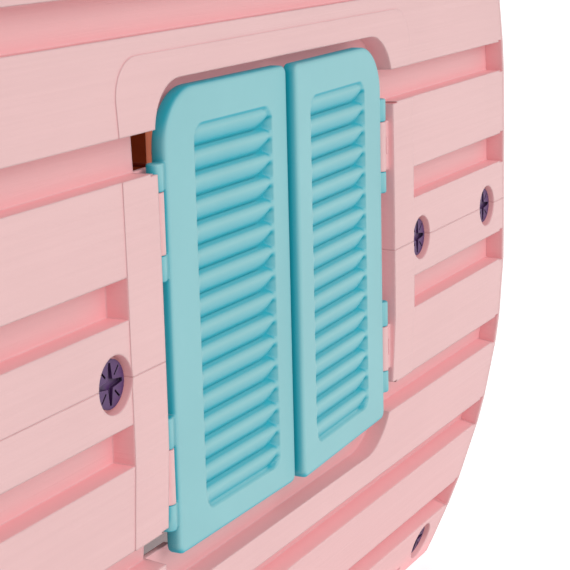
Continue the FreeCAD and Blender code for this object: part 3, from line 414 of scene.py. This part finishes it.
def plastic(name, rgb, rough, stretch, grain, soft, painted_shade_and_light_colour, reach, down=0.4, closed=0.25, lift=0.0):
    """Satin moulded plastic.  stretch is the scale of the pressed grain along X, Y and Z, grain its
    depth in metres, soft the radius of the softened edges; the colour given after soft is painted
    shade, mixed into the base colour in hollows up to reach metres wide (fully where only the share
    closed of the sky is seen) and, by the amount down, on faces that look down, and lift is how
    brightly those same places give off that colour as painted light."""
    material = bpy.data.materials.new(name)
    material.use_nodes = True
    tree = material.node_tree
    link = tree.links.new
    shader = tree.nodes["Principled BSDF"]
    place = node(tree, "TexCoord")
    soft_normal = node(tree, "Bevel", samples=6, in_Radius=soft)
    pressed = group(tree, "grain", grain_group)
    pressed.inputs["Stretch"].default_value = stretch
    skin = group(tree, "skin", skin_group)
    worn = group(tree, "wear", wear_group)
    for made in (pressed, skin, worn):
        link(place.outputs["Object"], made.inputs["Vector"])
    link(soft_normal.outputs["Normal"], worn.inputs["Soft Normal"])
    worn.inputs["Amount"].default_value = RUBBED

    streaked = node(tree, "Mix", data_type="RGBA")
    streaked.inputs["A"].default_value = tinted(rgb, 1.0)
    streaked.inputs["B"].default_value = tinted(rgb, 0.93)
    half = node(tree, "Math", operation="MULTIPLY", in_1=0.4)
    link(pressed.outputs["Streak"], half.inputs[0])
    link(half.outputs[0], streaked.inputs["Factor"])
    patched = node(tree, "Mix", data_type="RGBA", blend_type="MULTIPLY", in_Factor=0.35)
    shade = node(tree, "MapRange", in_1=0.3, in_2=0.7, in_3=0.93, in_4=1.04)
    link(skin.outputs["Patches"], shade.inputs["Value"])
    link(streaked.outputs["Result"], patched.inputs["A"])
    link(shade.outputs["Result"], patched.inputs["B"])
    # painted shade: the base colour is mixed towards the shade colour in hollows found by occlusion and on
    # faces that look down
    open_sky = node(tree, "AmbientOcclusion", samples=8, in_Distance=reach)
    bounce = group(tree, "bounce", painted_shade_group)
    bounce.inputs["Down"].default_value = down
    bounce.inputs["Closed"].default_value = closed
    link(open_sky.outputs["AO"], bounce.inputs["Open"])
    painted_shade_mix = node(tree, "Mix", data_type="RGBA")
    link(bounce.outputs["Mask"], painted_shade_mix.inputs["Factor"])
    link(patched.outputs["Result"], painted_shade_mix.inputs["A"])
    painted_shade_mix.inputs["B"].default_value = tinted(painted_shade_and_light_colour, 1.0)
    rubbed = node(tree, "Mix", data_type="RGBA")
    link(worn.outputs["Edge"], rubbed.inputs["Factor"])
    link(painted_shade_mix.outputs["Result"], rubbed.inputs["A"])
    rubbed.inputs["B"].default_value = tinted([c * 0.75 + 0.25 for c in rgb], 1.0)
    link(rubbed.outputs["Result"], shader.inputs["Base Color"])
    # painted light: those same places give off the shade colour, at the strength lift
    painted_light_mix = node(tree, "Mix", data_type="RGBA")
    painted_light_mix.inputs["A"].default_value = (0, 0, 0, 1)
    painted_light_mix.inputs["B"].default_value = tinted(painted_shade_and_light_colour, 1.0)
    link(bounce.outputs["Mask"], painted_light_mix.inputs["Factor"])
    link(painted_light_mix.outputs["Result"], shader.inputs["Emission Color"])
    shader.inputs["Emission Strength"].default_value = lift

    dull = node(tree, "MapRange", in_1=0.2, in_2=0.8, in_3=rough - 0.06, in_4=rough + 0.08)
    link(pressed.outputs["Height"], dull.inputs["Value"])
    link(dull.outputs["Result"], shader.inputs["Roughness"])
    peel = node(tree, "Bump", in_Strength=0.5, in_Distance=PEEL_DEPTH)
    link(skin.outputs["Height"], peel.inputs["Height"])
    link(soft_normal.outputs["Normal"], peel.inputs["Normal"])
    ridges = node(tree, "Bump", in_Strength=1.0, in_Distance=grain)
    link(pressed.outputs["Height"], ridges.inputs["Height"])
    link(peel.outputs["Normal"], ridges.inputs["Normal"])
    link(ridges.outputs["Normal"], shader.inputs["Normal"])
    shader.inputs["Specular IOR Level"].default_value = 0.42
    return material


def shingled(material):
    """Press the joints between shingles into a material, on top of its pressed grain."""
    tree = material.node_tree
    tiles = group(tree, "shingles", shingle_group)
    tiles.inputs["Width"].default_value = bpy.context.scene.playhouse_roof.tile
    place = next(n for n in tree.nodes if n.type == "TEX_COORD")
    tree.links.new(place.outputs["Object"], tiles.inputs["Vector"])
    groove = node(tree, "Bump", invert=True, in_Strength=1.0, in_Distance=GROOVE_DEPTH)
    tree.links.new(tiles.outputs["Joint"], groove.inputs["Height"])
    shader = tree.nodes["Principled BSDF"]
    before = shader.inputs["Normal"].links[0].from_socket
    tree.links.new(before, groove.inputs["Normal"])
    tree.links.new(groove.outputs["Normal"], shader.inputs["Normal"])
    return material


MATERIALS = {}


def finish_of(key):
    """The material for one of the finishes, made when it is first asked for."""
    look = bpy.context.scene.playhouse_finish
    # The colour after each edge radius is painted shade for hollows and down-facing faces; with lift=0.22,
    # wall and shutter hollows also give it off as painted light.
    recipes = {
        "wall": lambda: plastic("wall_plastic", look.wall, 0.46, (4.0, 4.0, 260.0), 0.0004, look.edge,
                                (0.63, 0.29, 0.305), 0.04, 0.3, lift=0.22),
        "shutter": lambda: plastic("shutter_plastic", look.shutter, 0.4, (9.0, 9.0, 9.0), 0.00003,
                                   0.0018, (0.004, 0.25, 0.315), 0.03, 1.0, 0.55, lift=0.22),
        "door": lambda: plastic("door_plastic", look.door, 0.44, (120.0, 120.0, 3.0), 0.0002, 0.0022,
                                (0.45, 0.05, 0.004), 0.04),
        "cap": lambda: plastic("cap_plastic", look.roof, 0.5, (120.0, 5.0, 5.0), 0.00025, 0.002,
                               (0.08, 0.025, 0.15), 0.05),
        "roof": lambda: shingled(plastic("roof_plastic", look.roof, 0.5, (120.0, 5.0, 5.0), 0.00025,
                                         0.002, (0.08, 0.025, 0.15), 0.05)),
        "bolt": lambda: plastic("bolt_plastic", look.bolt, 0.36, (30.0, 30.0, 30.0), 0.00002, 0.0008,
                                (0.02, 0.004, 0.03), 0.006),
    }
    if key not in MATERIALS:
        MATERIALS[key] = recipes[key]()
    return MATERIALS[key]


def dress(obj, key):
    """Give an object one finish all over."""
    obj.data.materials.clear()
    obj.data.materials.append(finish_of(key))


def soften(obj, width):
    """Round the sharp edges of a CAD piece: its triangles are joined, then bevelled."""
    obj.modifiers.new("joined", "WELD").merge_threshold = 0.01 * MM
    bevel = obj.modifiers.new("softened", "BEVEL")
    bevel.width = width
    bevel.segments = 2
    bevel.limit_method = "ANGLE"
    bevel.angle_limit = math.radians(35)


def cad_nodes(*starts):
    """The CAD pieces whose names begin with any of the given words, in order of name."""
    return [o for name, o in sorted(NODES.items()) if name.startswith(starts)]


# ---- shutters -----------------------------------------------------------------------------------
def rounded_box_distance(x, z, box, radii):
    """Distance inwards from the outline of a rounded box, for points within it.  box is x1, x2,
    z1, z2 and radii the corner radii low-left, low-right, high-right, high-left: in the square of a
    corner it is the radius less the distance from the corner's centre, elsewhere the distance to
    the nearest side."""
    x1, x2, z1, z2 = box
    inside = np.minimum(np.minimum(x - x1, x2 - x), np.minimum(z - z1, z2 - z))
    for (sx, sz), r in zip(((-1, -1), (1, -1), (1, 1), (-1, 1)), radii):
        cx = (x1 + r) if sx < 0 else (x2 - r)
        cz = (z1 + r) if sz < 0 else (z2 - r)
        corner = ((x - cx) * sx > 0) & ((z - cz) * sz > 0)
        inside = np.where(corner, r - np.hypot(x - cx, z - cz), inside)
    return inside


def rounded(distance, radius):
    """Drop of a rounded edge: a quarter circle over the first radius from the outline."""
    near = np.clip(distance, 0, radius)
    return radius - np.sqrt(np.maximum(radius ** 2 - (radius - near) ** 2, 0))


def row_limits(z, box, radii):
    """Left and right end of each row z of a rounded box."""
    x1, x2, z1, z2 = box
    left, right = np.full_like(z, x1), np.full_like(z, x2)
    low_left, low_right, high_right, high_left = radii
    for r, side, zc, up in ((low_left, -1, z1, -1), (low_right, 1, z1, -1),
                            (high_right, 1, z2, 1), (high_left, -1, z2, 1)):
        over = np.clip((z - (zc - up * r)) * up, 0, r)
        cut = r - np.sqrt(np.maximum(r ** 2 - over ** 2, 0))
        if side < 0:
            left = np.maximum(left, x1 + cut)
        else:
            right = np.minimum(right, x2 - cut)
    return left, right


def slat_height(x, z, field, tips, look):
    """Height of the louvres above the floor of the field.  Across a slat q runs from -1 at its foot
    to 1 at its head, with its crest at q = skew: h = rise sqrt(1 - p ^ 2), where p is the distance
    from the crest as a share of its side.  Towards an end p is divided by w, which shrinks as a
    quarter circle over the length of that end's tip below the crest and a quarter of it above."""
    x1, x2, z1, z2 = field
    pitch = (z2 - z1) / look.louvres
    phase = (z - z1) / pitch
    q = (phase - np.floor(np.clip(phase, 0, look.louvres - 0.001)) - 0.5) * 2
    p = np.where(q > look.skew, (q - look.skew) / (1 - look.skew), (look.skew - q) / (1 + look.skew))
    w = np.ones_like(q * x)
    for end, tip in ((x - x1, tips[0]), (x2 - x, tips[1])):
        t = np.clip(end / np.where(q < look.skew, tip, tip / 4), 0.0001, 1)
        w = np.minimum(w, np.sqrt(np.maximum(1 - (1 - t) ** 2, 0.0001)))
    inside = (x > x1) & (x < x2) & (z > z1) & (z < z2)
    return np.where(inside, look.rise * np.sqrt(np.maximum(1 - (p / w) ** 2, 0)), 0)


def shutter_body(look, box, front, back, tips):
    """Front and back grids of a closed left shutter; tips are the lengths of its louvres' two ends.
    The depth of the front is the quarter circle of the rounded edge plus the floor of the field,
    which falls along s * s * (3 - 2 * s) over the width of its sloping wall, less the height of the
    slats.  The back is raised by the same kind of slope into a shallow tray, and repeats the slats
    faintly."""
    radii = (CORNER_SMALL, CORNER_SMALL, CORNER_SMALL, look.corner)
    x1, x2, z1, z2 = box
    field = (x1 + look.border_hinge, x2 - look.border_free, z1 + look.border_low, z2 - look.border_top)
    mid = np.linspace(field[2], field[3], look.louvres * ROWS_PER_SLAT + 1)
    low = spaced(z1, field[2], 22, 0.6)[:-1]
    high = spaced(field[3], z2, 30, 0.6)[1:]
    z = np.concatenate([low, mid, high])
    across = np.concatenate([spaced(0, 0.19, 22, 0.5)[:-1], spaced(0.19, 0.87, 48, 0.45)[:-1],
                             spaced(0.87, 1, 20, 0.5)])
    left, right = row_limits(z, box, radii)
    zz = np.broadcast_to(z[:, None], (len(z), len(across)))
    xx = left[:, None] + (right - left)[:, None] * across[None, :]
    edge = rounded_box_distance(xx, zz, box, radii)
    sunk_at = rounded_box_distance(xx, zz, field, (FIELD_ROUND,) * 4)
    slope = np.clip(sunk_at / FIELD_SLOPE, 0, 1)
    sink = look.depth * (slope * slope * (3 - 2 * slope))
    slats = slat_height(xx, zz, field, tips, look) * np.clip(sunk_at / SLAT_FADE, 0, 1)
    y_front = front + rounded(edge, look.rounding) + np.maximum(sink - slats, 0)
    tray_at = np.clip((edge - TRAY_BORDER) / TRAY_SLOPE, 0, 1)
    tray = TRAY_DEPTH * tray_at * tray_at * (3 - 2 * tray_at)
    y_back = back - rounded(edge, BACK_ROUND) - tray + slats * SLAT_SHOWS_BEHIND
    y_back = np.maximum(y_back, y_front + SKIN_LEAST)
    return np.stack([xx, y_front, zz], axis=-1), np.stack([xx, y_back, zz], axis=-1)


def knuckle(about, reach, z1, z2, radius=6 * MM, web=4 * MM):
    """A hinge knuckle: the outline of a barrel and its web, a circle drawn out to a straight arm,
    carried up from z1 to z2 with its first and last rings drawn in to round the ends."""
    bend = math.asin(web / radius)
    arc = np.linspace(bend, 2 * math.pi - bend, BARREL_POINTS)
    ring = np.stack([radius * np.cos(arc), radius * np.sin(arc)], axis=-1)
    arm = np.array([[reach, -web], [reach, web]])
    ring = np.concatenate([ring, arm])
    lift = np.array([0, 0.15, 0.5, 1.0]) * KNUCKLE_ROUND
    drawn_in = np.array([1.4, 0.65, 0.25, 0]) * MM
    scale = 1 - np.concatenate([drawn_in, drawn_in[::-1]]) / radius
    height = np.concatenate([z1 + lift, z2 - lift[::-1]])
    rings = len(height)
    points = np.empty((rings, len(ring), 3))
    points[..., :2] = ring[None] * scale[:, None, None]
    points[:, BARREL_POINTS:, 0] = ring[BARREL_POINTS:, 0]
    points[..., 2] = height[:, None]
    points[..., 0] += about[0]
    points[..., 1] += about[1]
    sides = faces_of_grid(rings, len(ring), wrap=True)
    caps = np.arange(len(ring))[None, ::-1], np.arange(len(ring))[None] + (rings - 1) * len(ring)
    return points.reshape(-1, 3), [sides, *caps]


class PLAYHOUSE_OT_shutters(bpy.types.Operator):
    """Build the four louvred shutters with their moving knuckles"""
    bl_idname = "playhouse.shutters"
    bl_label = "Shutters"

    def execute(self, context):
        look = context.scene.playhouse_shutters
        low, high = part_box("shutter_back_right")    # closed, and as wide as the front left one
        left, right = JOINTS["shutter_front_left_hinge"], JOINTS["shutter_front_right_hinge"]
        pin = left["pos_m"]
        front = pin[1] - PIN_SET + SHUTTER_SET
        box = (pin[0] + PIN_TO_EDGE, high.x, low.z, high.z)
        back = front + look.thickness
        left_grids = shutter_body(look, box, front, back, (look.butt, look.tip))
        right_grids = shutter_body(look, box, front, back, (look.tip, look.butt))
        lugs = [knuckle(pin, KNUCKLE_REACH, pin[2] + foot * MM, pin[2] + head * MM)
                for foot, head in KNUCKLES]
        points, faces = merge([slab(*left_grids), *lugs])
        mirror, mirror_faces = merge([slab(*right_grids), *lugs])
        mirror = mirror * np.array([-1, 1, 1])
        left_ajar, right_ajar = (math.radians(j["range_deg"][0]) for j in (left, right))
        half_turn = math.pi
        for name, pts, fcs in (
                ("shutter_front_left", turned(points, pin, left_ajar), faces),
                ("shutter_front_right", turned(mirror, right["pos_m"], -right_ajar), flip(mirror_faces)),
                ("shutter_back_left", turned(points, (0, 0), half_turn), faces),
                ("shutter_back_right", turned(mirror, (0, 0), half_turn), flip(mirror_faces))):
            piece = build(name + "_moulding", pts, fcs)
            dress(piece, "shutter")
            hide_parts(name)
            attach(piece, name)
        return {"FINISHED"}


# ---- walls, door, roof and fasteners ------------------------------------------------------------
class PLAYHOUSE_OT_walls(bpy.types.Operator):
    """Give the eight wall panels their pressed pink plastic"""
    bl_idname = "playhouse.walls"
    bl_label = "Walls"

    def execute(self, context):
        for panel in cad_nodes("front_wall", "back_wall", "door_wall", "end_wall"):
            dress(panel, "wall")
        return {"FINISHED"}


class PLAYHOUSE_OT_door(bpy.types.Operator):
    """Give the door leaf and its handles their plastic"""
    bl_idname = "playhouse.door"
    bl_label = "Door"

    def execute(self, context):
        dress(NODES["door_leaf"], "door")
        for handle in cad_nodes("door_handle"):
            dress(handle, "bolt")
        return {"FINISHED"}


class PLAYHOUSE_OT_roof(bpy.types.Operator):
    """Give the roof its plastic"""
    bl_idname = "playhouse.roof"
    bl_label = "Roof"

    def execute(self, context):
        for slope in (NODES["roof_front"], NODES["roof_back"]):
            dress(slope, "roof")
        dress(NODES["ridge_cap"], "cap")
        return {"FINISHED"}


class PLAYHOUSE_OT_fasteners(bpy.types.Operator):
    """Give the bolts, nuts and hinge pins their plastic"""
    bl_idname = "playhouse.fasteners"
    bl_label = "Bolts, nuts and pins"

    def execute(self, context):
        for part in cad_nodes("seam_", "corner_", "roof_bolts", "roof_nuts", "door_pins", "shutter_pins"):
            dress(part, "bolt")
            soften(part, BOLT_SOFT)
        return {"FINISHED"}


# ---- stage --------------------------------------------------------------------------------------
class PLAYHOUSE_OT_stage(bpy.types.Operator):
    """Set the camera, the pale floor and the soft light"""
    bl_idname = "playhouse.stage"
    bl_label = "Stage"

    def execute(self, context):
        look = context.scene.playhouse_stage
        scene = context.scene
        camera = bpy.data.objects.new("camera", bpy.data.cameras.new("camera"))
        scene.collection.objects.link(camera)
        camera.data.lens = look.lens
        camera.data.sensor_width = 36
        aim = Vector(VIEW_AIM).normalized()
        right = Vector(VIEW_RIGHT)
        right = (right - aim * right.dot(aim)).normalized()
        above = right.cross(aim)
        camera.matrix_world = Matrix((right, above, -aim)).transposed().to_4x4()
        camera.location = VIEWPOINT
        scene.camera = camera

        ground = CAD_BOX[0][2] - FLOOR_DROP
        corners = np.array([[sx * FLOOR_HALF, sy * FLOOR_HALF, ground]
                            for sx, sy in ((-1, -1), (1, -1), (1, 1), (-1, 1))])
        floor = build("floor", corners, [np.array([[0, 1, 2, 3]])], smooth=False)
        paper = bpy.data.materials.new("pale_floor")
        paper.use_nodes = True
        shader = paper.node_tree.nodes["Principled BSDF"]
        shader.inputs["Base Color"].default_value = (0.93, 0.93, 0.93, 1)
        shader.inputs["Roughness"].default_value = 0.9
        shader.inputs["Emission Color"].default_value = (1, 1, 1, 1)
        shader.inputs["Emission Strength"].default_value = look.lift
        floor.data.materials.append(paper)

        sun = bpy.data.objects.new("key", bpy.data.lights.new("key", "SUN"))
        scene.collection.objects.link(sun)
        sun.data.energy = look.sun
        sun.data.angle = KEY_SPREAD
        sun.rotation_euler = Vector(KEY_FROM).to_track_quat("Z", "Y").to_euler()

        world = bpy.data.worlds.new("studio")
        scene.world = world
        world.use_nodes = True
        tree = world.node_tree
        sky = tree.nodes["Background"]
        sky.inputs["Color"].default_value = (1, 1, 1, 1)
        path = tree.nodes.new("ShaderNodeLightPath")
        level = tree.nodes.new("ShaderNodeMapRange")
        level.inputs["To Min"].default_value = look.sky
        level.inputs["To Max"].default_value = 1.0
        tree.links.new(path.outputs["Is Camera Ray"], level.inputs["Value"])
        tree.links.new(level.outputs["Result"], sky.inputs["Strength"])
        scene.view_settings.view_transform = "Standard"
        return {"FINISHED"}


class PLAYHOUSE_PT_panel(bpy.types.Panel):
    """Sidebar panel with every piece of the playhouse"""
    bl_idname = "PLAYHOUSE_PT_panel"
    bl_label = "Playhouse"
    bl_space_type = "VIEW_3D"
    bl_region_type = "UI"
    bl_category = "Playhouse"

    def draw(self, context):
        for made in OPERATORS:
            self.layout.operator(made.bl_idname)
        for name in SETTINGS:
            box = self.layout.box()
            holder = getattr(context.scene, name)
            for key in holder.__annotations__:
                box.prop(holder, key)


SETTINGS = {"playhouse_finish": PlayhouseFinish, "playhouse_shutters": PlayhouseShutters,
            "playhouse_roof": PlayhouseRoof, "playhouse_stage": PlayhouseStage}
OPERATORS = (PLAYHOUSE_OT_walls, PLAYHOUSE_OT_shutters, PLAYHOUSE_OT_door, PLAYHOUSE_OT_roof,
             PLAYHOUSE_OT_fasteners, PLAYHOUSE_OT_stage)


def register():
    """Register the settings, operators and panel, and put the settings on the scene."""
    for made in (*SETTINGS.values(), *OPERATORS, PLAYHOUSE_PT_panel):
        bpy.utils.register_class(made)
    for name, kind in SETTINGS.items():
        setattr(bpy.types.Scene, name, bpy.props.PointerProperty(type=kind))


def unregister():
    """Undo register."""
    for name in SETTINGS:
        delattr(bpy.types.Scene, name)
    for made in reversed((*SETTINGS.values(), *OPERATORS, PLAYHOUSE_PT_panel)):
        bpy.utils.unregister_class(made)


def main():
    register()
    for made in OPERATORS:
        group_name, action = made.bl_idname.split(".")
        getattr(getattr(bpy.ops, group_name), action)()


if __name__ == "__main__":
    main()
